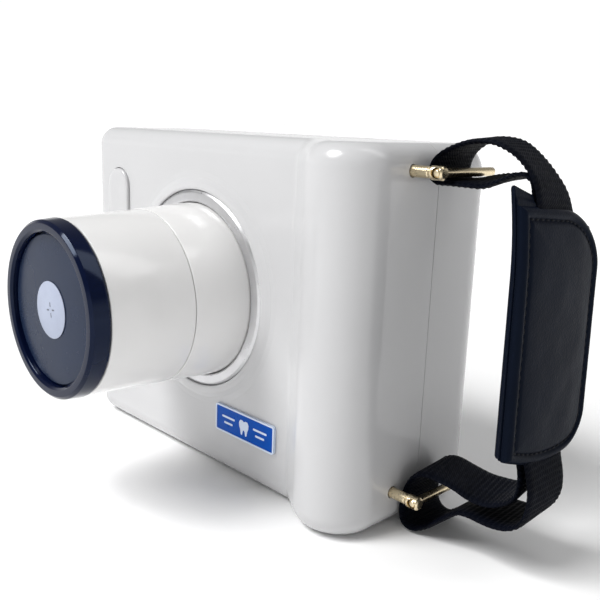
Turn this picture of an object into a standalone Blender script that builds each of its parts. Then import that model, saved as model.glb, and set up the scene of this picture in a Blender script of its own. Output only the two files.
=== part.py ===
"""Hand-held intraoral X-ray unit: camera-like body with a beam cone, rear keypad and a hand strap.

Frame: +Z up, -Y forward (the way the cone points), +X towards the strap.
The origin is at the bottom of the body, half way along its width and depth. Every piece hangs from an
empty on the parting plane of the two shells, and y below is measured from that plane.
"""
import math

import bmesh
import bpy
from mathutils import Matrix, Vector

MM = 0.001

# Body
WIDTH = 185.0 * MM
HEIGHT = 146.5 * MM
FRONT = -34.5 * MM          # flat front face
REAR = 40.5 * MM            # rear face
EDGE = 8.5 * MM             # rounding of the top and bottom edges at the front and sides
FRONT_CORNER = 9.5 * MM     # plan radius of the front left corner
REAR_CORNER = 18.0 * MM     # plan radius of the rear corners, and rounding of the rear edges
EDGE_STEPS = 4
WALL = 2.5 * MM
PARTING_PLANE = -(FRONT + REAR) / 2
GAP = 0.3 * MM              # clearance between pieces that touch

# Grip: a column that bulges forward at the +X end
GRIP_RADIUS = 18.0 * MM
GRIP_DEPTH = 8.0 * MM       # its axis lies this far behind the flat front face
GRIP_RAMP = math.radians(32.0)
KINK_RADIUS = 6.0 * MM

# Beam cone
CONE_X = -6.6 * MM
CONE_Z = 79.7 * MM
CONE_AXIS = (CONE_X, 0, CONE_Z)
PORT_RADIUS = 43.2 * MM     # hole in the front shell
COLLAR_RADIUS = 47.5 * MM
CONE_BASE_RADIUS = 37.4 * MM
CONE_SEAM_RADIUS = 36.1 * MM
CONE_TIP_RADIUS = 34.4 * MM
CONE_WALL = 2.2 * MM
RETAINER_RADIUS = 46.0 * MM
CONE_BASE = 36.9 * MM       # distances forward of the parting plane
CONE_SEAM = 61.7 * MM
CAP_BACK = 97.3 * MM
CAP_FRONT = 105.0 * MM
CAP_RADIUS = 34.7 * MM
CAP_BORE = 29.4 * MM
MARK_RADIUS = 11.0 * MM
TURN_STEPS = 36

# Exposure button on the front face
BUTTON_X = -69.0 * MM
BUTTON_Z = 112.5 * MM
BUTTON_WIDTH = 17.0 * MM
BUTTON_LENGTH = 30.0 * MM
BUTTON_PROUD = 1.4 * MM
BUTTON_TRAVEL = 1.0 * MM

# Rear panel
PANEL_X = -10.0 * MM
WINDOW_Z = 104.0 * MM
WINDOW_SIZE = (74.0 * MM, 44.0 * MM)
KEYPAD_Z = 54.0 * MM
KEYPAD_SIZE = (88.0 * MM, 44.0 * MM)
BEZEL_THICKNESS = 1.0 * MM
KEY_PITCH = 14.5 * MM
KEY_OUTER = 33.0 * MM
KEY_PROUD = 1.5 * MM
KEY_CLEARANCE = 0.4 * MM
KEYS = [
    ("ok_key", PANEL_X, KEYPAD_Z, 6.0 * MM),
    ("up_key", PANEL_X, KEYPAD_Z + KEY_PITCH, 4.8 * MM),
    ("down_key", PANEL_X, KEYPAD_Z - KEY_PITCH, 4.8 * MM),
    ("left_key", PANEL_X + KEY_PITCH, KEYPAD_Z, 4.8 * MM),
    ("right_key", PANEL_X - KEY_PITCH, KEYPAD_Z, 4.8 * MM),
    ("power_key", PANEL_X + KEY_OUTER, KEYPAD_Z, 5.2 * MM),
    ("mode_key", PANEL_X - KEY_OUTER, KEYPAD_Z, 5.2 * MM),
]
SOCKET_Y = 12.0 * MM
SOCKET_Z = 24.0 * MM

# Strap fittings
PIN_X = 103.5 * MM
PIN_RADIUS = 1.6 * MM
PIN_LENGTH = 35.0 * MM
UPPER_PIN_Z = 137.0 * MM
LOWER_PIN_Z = 15.0 * MM
POST_Y = 15.5 * MM
POST_RADIUS = 2.8 * MM
POST_END = 106.5 * MM
WEBBING_WIDTH = 25.0 * MM
WEBBING_THICKNESS = 1.6 * MM
PAD_X = (138.2 * MM, 145.0 * MM)
PAD_CHANNEL = (139.4 * MM, 143.6 * MM)
PAD_EDGE = 1.8 * MM

# Insides
CHASSIS_Y = (24.5 * MM, 26.0 * MM)
TANK_X = (-48.0 * MM, 36.0 * MM)
TANK_Y = (-26.0 * MM, 21.8 * MM)
TANK_Z = (38.0 * MM, 122.0 * MM)
TANK_WALL = 2.0 * MM
POST_PLACES = [(x, z) for x in (-56.0 * MM, 46.0 * MM) for z in (28.0 * MM, 128.0 * MM)]
SCREW_PLACES = [(x, z) for x in (-82.0 * MM, 82.0 * MM) for z in (12.5 * MM, 134.0 * MM)]
SCREW_SEAT = 10.0 * MM      # where the heads of the case screws sit, behind the parting plane
FRONT_BOSS_RADIUS = 4.0 * MM
REAR_BOSS_RADIUS = 5.0 * MM
CELL_RADIUS = 9.2 * MM
CELL_LENGTH = 65.0 * MM
CELL_PITCH = 19.0 * MM
BATTERY_X = 72.0 * MM
BATTERY_Z = 31.0 * MM

COLOURS = {
    "white_gloss": ((0.86, 0.86, 0.87), 0.18, 0.0),
    "white_key": ((0.80, 0.82, 0.84), 0.35, 0.0),
    "navy_gloss": ((0.012, 0.022, 0.075), 0.12, 0.0),
    "slate": ((0.045, 0.058, 0.09), 0.25, 0.0),
    "pale_mark": ((0.52, 0.55, 0.62), 0.5, 0.0),
    "silver": ((0.72, 0.74, 0.77), 0.2, 1.0),
    "blue_label": ((0.0, 0.05, 0.36), 0.3, 0.0),
    "gold": ((0.83, 0.62, 0.28), 0.22, 1.0),
    "black_webbing": ((0.012, 0.012, 0.014), 0.85, 0.0),
    "black_pad": ((0.014, 0.016, 0.022), 0.45, 0.0),
    "dark_glass": ((0.01, 0.012, 0.015), 0.05, 0.0),
    "grey_bezel": ((0.30, 0.33, 0.37), 0.4, 0.0),
    "steel": ((0.55, 0.56, 0.58), 0.3, 1.0),
    "aluminium": ((0.76, 0.77, 0.79), 0.35, 1.0),
    "lead": ((0.25, 0.26, 0.28), 0.6, 1.0),
    "copper": ((0.78, 0.38, 0.22), 0.3, 1.0),
    "board_green": ((0.02, 0.17, 0.07), 0.5, 0.0),
    "black_plastic": ((0.02, 0.02, 0.022), 0.5, 0.0),
    "cell_wrap": ((0.04, 0.20, 0.42), 0.4, 0.0),
    "clear_glass": ((0.75, 0.85, 0.88), 0.05, 0.0),
}


# ---------------------------------------------------------------- scene helpers

def clear_scene():
    for old in list(bpy.data.objects):
        bpy.data.objects.remove(old)


def collection(name):
    found = bpy.data.collections.new(name)
    bpy.context.scene.collection.children.link(found)
    return found


def make_materials():
    made = {}
    for name, (colour, roughness, metallic) in COLOURS.items():
        material = bpy.data.materials.new(name)
        material.use_nodes = True
        shader = material.node_tree.nodes["Principled BSDF"]
        shader.inputs["Base Color"].default_value = (*colour, 1.0)
        shader.inputs["Roughness"].default_value = roughness
        shader.inputs["Metallic"].default_value = metallic
        made[name] = material
    return made


clear_scene()
PARTS = collection("intraoral_xray_unit")
CUTTERS = collection("cutters")
DATUM = bpy.data.objects.new("parting_plane", None)
DATUM.location = (0, PARTING_PLANE, 0)
PARTS.objects.link(DATUM)
MATERIALS = make_materials()


def finish(name, mesh, material):
    """Put a mesh in the scene: as a part with a material, or as a cutter without one."""
    obj = bpy.data.objects.new(name, mesh)
    obj.parent = DATUM
    if material is None:
        CUTTERS.objects.link(obj)
        obj.hide_render = True
        obj.display_type = "WIRE"
        return obj
    PARTS.objects.link(obj)
    mesh.materials.clear()
    mesh.materials.append(MATERIALS[material])
    mesh.shade_smooth()
    mesh.set_sharp_from_angle(angle=math.radians(35.0))
    return obj


def boolean(obj, other, operation="DIFFERENCE"):
    modifier = obj.modifiers.new(other.name, "BOOLEAN")
    modifier.operation = operation
    modifier.solver = "EXACT"
    modifier.object = other
    return obj


# ---------------------------------------------------------------- shape helpers

def arc(centre, radius, start, end, steps):
    """Points of an arc in a plane; the angles are in degrees."""
    points = []
    for index in range(steps + 1):
        angle = math.radians(start + (end - start) * index / steps)
        points.append((centre[0] + radius * math.cos(angle), centre[1] + radius * math.sin(angle)))
    return points


def rounded_rectangle(width, height, radius, steps=4):
    x, y = width / 2 - radius, height / 2 - radius
    points = []
    for corner, start in (((x, y), 0), ((-x, y), 90), ((-x, -y), 180), ((x, -y), 270)):
        points += arc(corner, radius, start, start + 90, steps)
    return points


def box(name, low, high, material=None):
    bm = bmesh.new()
    bmesh.ops.create_cube(bm, size=1.0)
    low, high = Vector(low), Vector(high)
    bmesh.ops.scale(bm, vec=high - low, verts=bm.verts)
    bmesh.ops.translate(bm, vec=(high + low) / 2, verts=bm.verts)
    mesh = bpy.data.meshes.new(name)
    bm.to_mesh(mesh)
    bm.free()
    return finish(name, mesh, material)


TURN_TO = {
    "X": Matrix.Rotation(math.radians(90.0), 4, "Y"),
    "-X": Matrix.Rotation(math.radians(-90.0), 4, "Y"),
    "Y": Matrix.Rotation(math.radians(-90.0), 4, "X"),
    "-Y": Matrix.Rotation(math.radians(90.0), 4, "X"),
    "Z": Matrix.Identity(4),
}


def cylinder(name, radius, start, length, axis, material=None, segments=20, top_radius=None):
    """A cylinder or cone that starts at a point and runs along an axis."""
    bm = bmesh.new()
    top = radius if top_radius is None else top_radius
    bmesh.ops.create_cone(bm, cap_ends=True, segments=segments, radius1=radius, radius2=top, depth=length)
    bmesh.ops.translate(bm, vec=(0, 0, length / 2), verts=bm.verts)
    mesh = bpy.data.meshes.new(name)
    bm.to_mesh(mesh)
    bm.free()
    obj = finish(name, mesh, material)
    obj.matrix_basis = Matrix.Translation(start) @ TURN_TO[axis]
    return obj


def turned(name, profile, place, axis, material=None, closed=True, steps=TURN_STEPS):
    """A profile of (radius, height) points turned about an axis. Its outer side runs top to bottom."""
    mesh = bpy.data.meshes.new(name)
    bm = bmesh.new()
    verts = [bm.verts.new((radius, 0, height)) for radius, height in profile]
    for first, second in zip(verts, verts[1:]):
        bm.edges.new((first, second))
    if closed:
        bm.edges.new((verts[-1], verts[0]))
    bm.to_mesh(mesh)
    bm.free()
    obj = finish(name, mesh, material)
    screw = obj.modifiers.new("turn", "SCREW")
    screw.steps = steps
    screw.render_steps = steps
    screw.use_merge_vertices = True
    screw.merge_threshold = 0.00001
    obj.matrix_basis = Matrix.Translation(place) @ TURN_TO[axis]
    return obj


def plate(name, outline, thickness, matrix, material=None, edge=0.0, resolution=1):
    """A flat outline, thickened evenly about its own plane, with its edges rounded by edge."""
    curve = bpy.data.curves.new(name, "CURVE")
    curve.dimensions = "2D"
    curve.fill_mode = "BOTH"
    curve.extrude = thickness / 2 - edge
    curve.bevel_depth = edge
    curve.bevel_resolution = resolution
    curve.offset = -edge
    spline = curve.splines.new("POLY")
    spline.points.add(len(outline) - 1)
    for point, (x, y) in zip(spline.points, outline):
        point.co = (x, y, 0, 1)
    spline.use_cyclic_u = True
    guide = bpy.data.objects.new(name + "_outline", curve)
    CUTTERS.objects.link(guide)
    bpy.context.view_layer.update()
    mesh = bpy.data.meshes.new_from_object(guide.evaluated_get(bpy.context.evaluated_depsgraph_get()))
    mesh.name = name
    bpy.data.objects.remove(guide)
    bm = bmesh.new()
    bm.from_mesh(mesh)
    bmesh.ops.remove_doubles(bm, verts=bm.verts, dist=0.000005)
    bmesh.ops.recalc_face_normals(bm, faces=bm.faces)
    bm.to_mesh(mesh)
    bm.free()
    obj = finish(name, mesh, material)
    obj.matrix_basis = matrix
    return obj


def along_x(x, y, z):
    """Plane of an outline drawn with x to +Y and y to +Z, centred on a point."""
    axes = Matrix(((0, 0, 1), (1, 0, 0), (0, 1, 0))).to_4x4()
    return Matrix.Translation((x, y, z)) @ axes


ALONG_X = along_x(0, 0, 0)


def upright(x, y, z):
    """Plane of an outline drawn with x to +X and y to +Z, centred on a point: it faces the front."""
    return Matrix.Translation((x, y, z)) @ TURN_TO["-Y"]


# ---------------------------------------------------------------- body shells

def plan_outline(inset=0.0):
    """The body seen from above, from the rear left corner round to the rear right one."""
    half = WIDTH / 2
    kink_run = KINK_RADIUS * math.tan(GRIP_RAMP / 2)
    axis = (half - GRIP_RADIUS, FRONT + GRIP_DEPTH)
    ramp_top = GRIP_RADIUS * math.cos(GRIP_RAMP) - GRIP_DEPTH
    ramp_x = axis[0] - GRIP_RADIUS * math.sin(GRIP_RAMP) - ramp_top / math.tan(GRIP_RAMP)
    ramp = math.degrees(GRIP_RAMP)
    rear = REAR - REAR_CORNER
    points = arc((-half + REAR_CORNER, rear), REAR_CORNER - inset, 90, 180, 5)
    points += arc((-half + FRONT_CORNER, FRONT + FRONT_CORNER), FRONT_CORNER - inset, 180, 270, 4)
    points += arc((ramp_x - kink_run, FRONT - KINK_RADIUS), KINK_RADIUS + inset, 90, 90 - ramp, 3)
    points += arc(axis, GRIP_RADIUS - inset, 270 - ramp, 360, 8)
    points += arc((half - REAR_CORNER, rear), REAR_CORNER - inset, 0, 90, 5)
    return points


def body_solid(name, inset=0.0, material=None):
    """The outer form of the body, or the space inside its walls.

    The top and bottom edges are rounded by EDGE at the front and sides, and by REAR_CORNER at the rear.
    """
    outer = [Vector(point) for point in plan_outline()]
    inward = [(Vector(point) - place) / MM for point, place in zip(plan_outline(MM), outer)]
    rounding = [EDGE + (REAR_CORNER - EDGE) * max(0.0, -way.y) ** 1.5 for way in inward]
    rings = []
    for step in range(EDGE_STEPS, -1, -1):
        angle = math.radians(90 * step / EDGE_STEPS)
        ring = []
        for place, way, radius in zip(outer, inward, rounding):
            inner = radius - inset
            x, y = place + way * (inset + inner * (1 - math.cos(angle)))
            ring.append((x, y, radius - inner * math.sin(angle)))
        rings.append(ring)
    rings += [[(x, y, HEIGHT - z) for x, y, z in ring] for ring in reversed(rings)]
    bm = bmesh.new()
    rows = [[bm.verts.new(point) for point in ring] for ring in rings]
    for lower, upper in zip(rows, rows[1:]):
        for index in range(len(lower)):
            bm.faces.new((lower[index - 1], lower[index], upper[index], upper[index - 1]))
    bm.faces.new(rows[0])
    bm.faces.new(rows[-1])
    bmesh.ops.recalc_face_normals(bm, faces=bm.faces)
    mesh = bpy.data.meshes.new(name)
    bm.to_mesh(mesh)
    bm.free()
    return finish(name, mesh, material)


def screw_boss_start(x):
    """How far forward a boss reaches: into the flat front's wall, or into the grip's outer side."""
    if x < 0:
        return FRONT + WALL / 2
    axis = (WIDTH / 2 - GRIP_RADIUS, FRONT + GRIP_DEPTH)
    across = x + FRONT_BOSS_RADIUS - axis[0]
    return axis[1] - math.sqrt(GRIP_RADIUS ** 2 - across ** 2) + WALL / 2


def front_shell(cavity):
    shell = body_solid("front_shell", material="white_gloss")
    boolean(shell, cavity)
    collar = [(42.0, 36.1), (44.6, 36.1), (46.3, 35.5), (47.5, 34.3), (47.5, 33.5), (42.0, 33.5)]
    collar = [(radius * MM, height * MM) for radius, height in collar]
    boolean(shell, turned("collar", collar, CONE_AXIS, "-Y"), "UNION")
    for index, (x, z) in enumerate(SCREW_PLACES, 1):
        start = screw_boss_start(x)
        boss = cylinder(f"front_boss_{index}", FRONT_BOSS_RADIUS, (x, start, z), 1 * MM - start, "Y")
        boolean(shell, boss, "UNION")
    boolean(shell, box("rear_half", (-0.2, -GAP / 2, -0.1), (0.2, 0.1, 0.3)))
    for index, (x, z) in enumerate(SCREW_PLACES, 1):
        boolean(shell, cylinder(f"pilot_{index}", 1.7 * MM, (x, -14 * MM, z), 20 * MM, "Y", segments=12))
    port = cylinder("port", PORT_RADIUS, (CONE_X, -20 * MM, CONE_Z), 30 * MM, "-Y", segments=TURN_STEPS + 4)
    boolean(shell, port)
    hole = capsule(BUTTON_WIDTH + 2 * KEY_CLEARANCE, BUTTON_LENGTH + 2 * KEY_CLEARANCE)
    boolean(shell, plate("button_hole", hole, 12 * MM, upright(BUTTON_X, FRONT, BUTTON_Z)))
    for z in (UPPER_PIN_Z, LOWER_PIN_Z):
        boolean(shell, cylinder("post_hole", POST_RADIUS + GAP, (85 * MM, -POST_Y, z), 12 * MM, "X"))


def rear_shell(cavity):
    for index, (x, z) in enumerate(SCREW_PLACES, 1):
        boolean(cavity, cylinder(f"rear_boss_{index}", REAR_BOSS_RADIUS, (x, 0, z), 50 * MM, "Y"))
    shell = body_solid("rear_shell", material="white_gloss")
    boolean(shell, cavity)
    boolean(shell, box("front_half", (-0.2, -0.1, -0.1), (0.2, GAP / 2, 0.3)))
    stepped = [(0, 50), (3.4, 50), (3.4, SCREW_SEAT / MM), (1.8, SCREW_SEAT / MM), (1.8, -2), (0, -2)]
    stepped = [(radius * MM, height * MM) for radius, height in stepped]
    for index, (x, z) in enumerate(SCREW_PLACES, 1):
        boolean(shell, turned(f"screw_hole_{index}", stepped, (x, 0, z), "Y", closed=False, steps=20))
    recess = rounded_rectangle(*WINDOW_SIZE, 5 * MM)
    boolean(shell, plate("window_recess", recess, 2.6 * MM, upright(PANEL_X, REAR, WINDOW_Z)))
    opening = (WINDOW_SIZE[0] / 2 - 5 * MM, WINDOW_SIZE[1] / 2 - 4 * MM)
    boolean(shell, box("display_opening", (PANEL_X - opening[0], REAR - 8 * MM, WINDOW_Z - opening[1]),
                       (PANEL_X + opening[0], REAR + 8 * MM, WINDOW_Z + opening[1])))
    for name, x, z, radius in KEYS:
        hole = cylinder(f"shell_hole_{name}", radius + KEY_CLEARANCE, (x, 30 * MM, z), 20 * MM, "Y")
        boolean(shell, hole)
    socket = rounded_rectangle(9.8 * MM, 4.1 * MM, 1.9 * MM)
    boolean(shell, plate("socket_hole", socket, 12 * MM, along_x(-WIDTH / 2, SOCKET_Y, SOCKET_Z)))


# ---------------------------------------------------------------- beam cone

def cone_part(name, profile, material, closed=True):
    return turned(name, profile, CONE_AXIS, "-Y", material, closed)


def beam_cone():
    seam = CONE_SEAM - GAP
    cone_part("cone_sleeve", [
        (CONE_SEAM_RADIUS - CONE_WALL, seam), (CONE_SEAM_RADIUS, seam),
        (CONE_BASE_RADIUS, CONE_BASE), (CONE_BASE_RADIUS, 29.9 * MM),
        (CONE_BASE_RADIUS - CONE_WALL, 29.9 * MM), (CONE_BASE_RADIUS - CONE_WALL, CONE_BASE)], "white_gloss")
    cone_part("cone_retaining_ring", [
        (CONE_BASE_RADIUS + GAP, 31.7 * MM), (RETAINER_RADIUS, 31.7 * MM),
        (RETAINER_RADIUS, 29.9 * MM), (CONE_BASE_RADIUS + GAP, 29.9 * MM)], "steel")
    cone_part("trim_ring", [
        (CONE_BASE_RADIUS + GAP, CONE_BASE - GAP), (PORT_RADIUS - GAP, 35.5 * MM),
        (PORT_RADIUS - GAP, 32.1 * MM), (CONE_BASE_RADIUS + GAP, 32.1 * MM)], "silver")
    spigot = CONE_SEAM_RADIUS - CONE_WALL - 0.4 * MM
    tip = CAP_BACK - GAP
    cone_part("cone_tube", [
        (CONE_TIP_RADIUS - CONE_WALL, tip), (CONE_TIP_RADIUS, tip),
        (CONE_SEAM_RADIUS - GAP / 2, CONE_SEAM + GAP / 2), (spigot, CONE_SEAM + GAP / 2),
        (spigot, CONE_SEAM - 6 * MM), (spigot - 2 * MM, CONE_SEAM - 6 * MM),
        (spigot - 2 * MM, CONE_SEAM + GAP / 2)], "white_gloss")
    plug = CONE_TIP_RADIUS - CONE_WALL - 2 * GAP
    window_back = CAP_FRONT - 4.0 * MM
    cone_part("cap_ring", [
        (CAP_BORE + 0.7 * MM, CAP_FRONT), (CAP_RADIUS - 1.4 * MM, CAP_FRONT),
        (CAP_RADIUS - 0.6 * MM, CAP_FRONT - 0.8 * MM), (CAP_RADIUS, CAP_BACK + 0.7 * MM),
        (CAP_RADIUS, CAP_BACK), (plug, CAP_BACK), (plug, CAP_BACK - 6.3 * MM), (27 * MM, CAP_BACK - 6.3 * MM),
        (27 * MM, window_back), (CAP_BORE, window_back), (CAP_BORE, CAP_FRONT - 0.6 * MM)], "navy_gloss")
    window_front = CAP_FRONT - 2.4 * MM
    cone_part("cap_window", disc(CAP_BORE - GAP, window_front, window_back + GAP), "slate", closed=False)
    cone_part("centre_mark", disc(MARK_RADIUS, window_front + 2 * GAP, window_front + GAP), "pale_mark",
              closed=False)


def disc(radius, top, bottom):
    return [(0, top), (radius, top), (radius, bottom), (0, bottom)]


# ---------------------------------------------------------------- front and rear controls

def capsule(width, length):
    return rounded_rectangle(width, length, width / 2 - 0.01 * MM, 6)


def exposure_button():
    proud = FRONT - BUTTON_PROUD
    depth = 4.9 * MM
    place = upright(BUTTON_X, proud + depth / 2, BUTTON_Z)
    outline = capsule(BUTTON_WIDTH, BUTTON_LENGTH)
    button = plate("exposure_button", outline, depth, place, "white_gloss", 0.6 * MM)
    flange = capsule(BUTTON_WIDTH + 3 * MM, BUTTON_LENGTH + 3 * MM)
    flange_y = proud + depth + 0.1 * MM
    boolean(button, plate("button_flange", flange, 1.4 * MM, upright(BUTTON_X, flange_y, BUTTON_Z)), "UNION")
    switch_front = flange_y + 0.7 * MM + BUTTON_TRAVEL + GAP
    box("exposure_switch", (BUTTON_X - 4 * MM, switch_front, BUTTON_Z - 4 * MM),
        (BUTTON_X + 4 * MM, switch_front + 7 * MM, BUTTON_Z + 4 * MM), "black_plastic")


def rear_panel():
    lens = rounded_rectangle(WINDOW_SIZE[0] - 0.8 * MM, WINDOW_SIZE[1] - 0.8 * MM, 4.6 * MM)
    plate("display_window", lens, 1.1 * MM, upright(PANEL_X, REAR - 0.4 * MM, WINDOW_Z), "dark_glass")
    box("display_module", (PANEL_X - 32 * MM, 33 * MM, WINDOW_Z - 18 * MM),
        (PANEL_X + 32 * MM, 37.5 * MM, WINDOW_Z + 18 * MM), "black_plastic")
    bezel_y = REAR + GAP + BEZEL_THICKNESS / 2
    outline = rounded_rectangle(*KEYPAD_SIZE, 8 * MM)
    bezel = plate("keypad_bezel", outline, BEZEL_THICKNESS, upright(PANEL_X, bezel_y, KEYPAD_Z), "grey_bezel")
    key_top = REAR + GAP + BEZEL_THICKNESS + KEY_PROUD
    for name, x, z, radius in KEYS:
        boolean(bezel, cylinder(f"bezel_hole_{name}", radius + KEY_CLEARANCE, (x, 30 * MM, z), 20 * MM, "Y"))
        rim = radius + 1 * MM
        profile = [(0, key_top), (radius - 0.6 * MM, key_top), (radius, key_top - 0.6 * MM),
                   (radius, 37.3 * MM), (rim, 37.3 * MM), (rim, 36 * MM), (0, 36 * MM)]
        turned(name, profile, (x, 0, z), "Y", "white_key", closed=False, steps=16)
    box("key_board", (PANEL_X - 44 * MM, 33.4 * MM, KEYPAD_Z - 20 * MM),
        (PANEL_X + 44 * MM, 35 * MM, KEYPAD_Z + 20 * MM), "board_green")


def charging_socket():
    outer = rounded_rectangle(9.0 * MM, 3.3 * MM, 1.5 * MM)
    inner = rounded_rectangle(8.2 * MM, 2.5 * MM, 1.2 * MM)
    start = -WIDTH / 2 + 0.2 * MM
    socket = plate("charging_socket", outer, 7 * MM, along_x(start + 3.5 * MM, SOCKET_Y, SOCKET_Z), "steel")
    boolean(socket, plate("socket_mouth", inner, 11 * MM, along_x(start, SOCKET_Y, SOCKET_Z)))


# ---------------------------------------------------------------- insides

def high_voltage_tank():
    low = Vector((TANK_X[0], TANK_Y[0], TANK_Z[0]))
    high = Vector((TANK_X[1], TANK_Y[1], TANK_Z[1]))
    tank = box("tank_housing", low, high, "aluminium")
    wall = Vector((TANK_WALL, TANK_WALL, TANK_WALL))
    space = high - wall
    space.y = TANK_Y[1] + 5 * MM
    boolean(tank, box("tank_space", low + wall, space))
    boolean(tank, cylinder("beam_port", 14 * MM, (CONE_X, -20 * MM, CONE_Z), 20 * MM, "-Y"))
    box("tank_lid", (low.x, TANK_Y[1] + GAP, low.z), (high.x, TANK_Y[1] + GAP + 2 * MM, high.z), "aluminium")

    tube_place = (CONE_X, -6 * MM, CONE_Z)
    glass = [(0, -28.8), (8.4, -28.8), (11.8, -23), (11.8, 24), (8.5, 28.8), (5.4, 28.8),
             (5.4, 30), (9, 30), (13, 24.6), (13, -23.6), (9, -30), (0, -30)]
    glass = [(radius * MM, height * MM) for radius, height in glass]
    turned("xray_tube", glass, tube_place, "X", "clear_glass", closed=False, steps=20)
    anode = cylinder("anode", 5 * MM, (CONE_X + 4 * MM, -6 * MM, CONE_Z), 31 * MM, "X", "copper", 20)
    slant = box("target_slant", (-10 * MM, -10 * MM, -10 * MM), (0, 10 * MM, 10 * MM))
    slant.matrix_basis = (Matrix.Translation((CONE_X + 6 * MM, -6 * MM, CONE_Z))
                          @ Matrix.Rotation(math.radians(20), 4, "Z"))
    boolean(anode, slant)
    cylinder("cathode_cup", 4.5 * MM, (CONE_X - 27 * MM, -6 * MM, CONE_Z), 16 * MM, "X", "steel", 20)

    core = box("transformer_core", (-42 * MM, -10 * MM, 41 * MM), (-8 * MM, 2 * MM, 63 * MM), "lead")
    boolean(core, box("core_window", (-34 * MM, -20 * MM, 47 * MM), (-16 * MM, 10 * MM, 57 * MM)))
    coil = box("transformer_coil", (-45.4 * MM, -13.5 * MM, 47.4 * MM), (-30.6 * MM, 5.5 * MM, 56.6 * MM),
               "copper")
    boolean(coil, box("coil_bore", (-42.4 * MM, -10.4 * MM, 40 * MM), (-33.6 * MM, 2.4 * MM, 64 * MM)))
    box("multiplier_board", (-2 * MM, 12 * MM, 44 * MM), (33 * MM, 13.6 * MM, 116 * MM), "board_green")


def beam_filter():
    ring = [(9 * MM, 29.4 * MM), (30 * MM, 29.4 * MM), (30 * MM, 26.4 * MM), (9 * MM, 26.4 * MM)]
    cone_part("lead_collimator", ring, "lead")
    cone_part("aluminium_filter", disc(11 * MM, 31.2 * MM, 29.7 * MM), "aluminium", closed=False)


def battery():
    depth = 3 * CELL_PITCH / 2 + 2.5 * MM
    half = CELL_RADIUS + 1.8 * MM
    holder = box("battery_holder", (BATTERY_X - half, -depth, BATTERY_Z - 2.5 * MM),
                 (BATTERY_X + half, depth, BATTERY_Z + CELL_LENGTH + 3 * MM), "black_plastic")
    inside = half - 1.5 * MM
    boolean(holder, box("battery_space", (BATTERY_X - inside, -depth + 1.5 * MM, BATTERY_Z - GAP),
                        (BATTERY_X + inside, depth - 1.5 * MM, BATTERY_Z + CELL_LENGTH + 9 * MM)))
    for index in range(3):
        place = (BATTERY_X, (index - 1) * CELL_PITCH, BATTERY_Z)
        cylinder(f"battery_cell_{index + 1}", CELL_RADIUS, place, CELL_LENGTH, "Z", "cell_wrap")


def chassis():
    outline = rounded_rectangle(114 * MM, 116 * MM, 5 * MM)
    middle = sum(CHASSIS_Y) / 2
    thickness = CHASSIS_Y[1] - CHASSIS_Y[0]
    plate("chassis_plate", outline, thickness, upright(-5 * MM, middle, 78 * MM), "aluminium")
    for index, (x, z) in enumerate(POST_PLACES, 1):
        start = FRONT + WALL + GAP
        cylinder(f"chassis_post_{index}", 3 * MM, (x, start, z), CHASSIS_Y[0] - GAP - start, "Y", "steel", 6)
    box("main_board", (-60 * MM, 29.5 * MM, 22 * MM), (52 * MM, 31.1 * MM, 134 * MM), "board_green")
    cylinder("buzzer", 6 * MM, (42 * MM, 31.4 * MM, 118 * MM), 5.6 * MM, "Y", "black_plastic")
    screw = [(0, 2.7), (2.9, 2.7), (2.9, GAP / MM), (1.4, GAP / MM), (1.4, -22), (0, -22)]
    screw = [(radius * MM, SCREW_SEAT + height * MM) for radius, height in screw]
    for index, (x, z) in enumerate(SCREW_PLACES, 1):
        turned(f"case_screw_{index}", screw, (x, 0, z), "Y", "steel", closed=False, steps=16)


# ---------------------------------------------------------------- hand strap

def strap_fittings():
    """A post with an eye at each end of the strap, and a pin held in the eye that the webbing goes round."""
    for level, z in (("upper", UPPER_PIN_Z), ("lower", LOWER_PIN_Z)):
        chamfer = 0.6 * MM
        profile = [(0, POST_END), (POST_RADIUS - chamfer, POST_END), (POST_RADIUS, POST_END - chamfer),
                   (POST_RADIUS, 88 * MM), (0, 88 * MM)]
        post = turned(f"{level}_strap_post", profile, (0, -POST_Y, z), "X", "gold", closed=False, steps=16)
        start = (PIN_X, -POST_Y - 5 * MM, z)
        boolean(post, cylinder(f"{level}_eye", PIN_RADIUS + GAP, start, 10 * MM, "Y", segments=12))
        start = (PIN_X, -PIN_LENGTH / 2, z)
        cylinder(f"{level}_strap_pin", PIN_RADIUS, start, PIN_LENGTH, "Y", "gold", 16)


def smooth_loop(points, steps):
    """A closed Catmull-Rom curve through hand-placed points."""
    result = []
    count = len(points)
    for index in range(count):
        before, first, second, after = (Vector(points[(index + shift) % count]) for shift in (-1, 0, 1, 2))
        for step in range(steps):
            t = step / steps
            result.append(0.5 * (2 * first + (second - before) * t
                                 + (2 * before - 5 * first + 4 * second - after) * t ** 2
                                 + (3 * first - before - 3 * second + after) * t ** 3))
    return result


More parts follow.
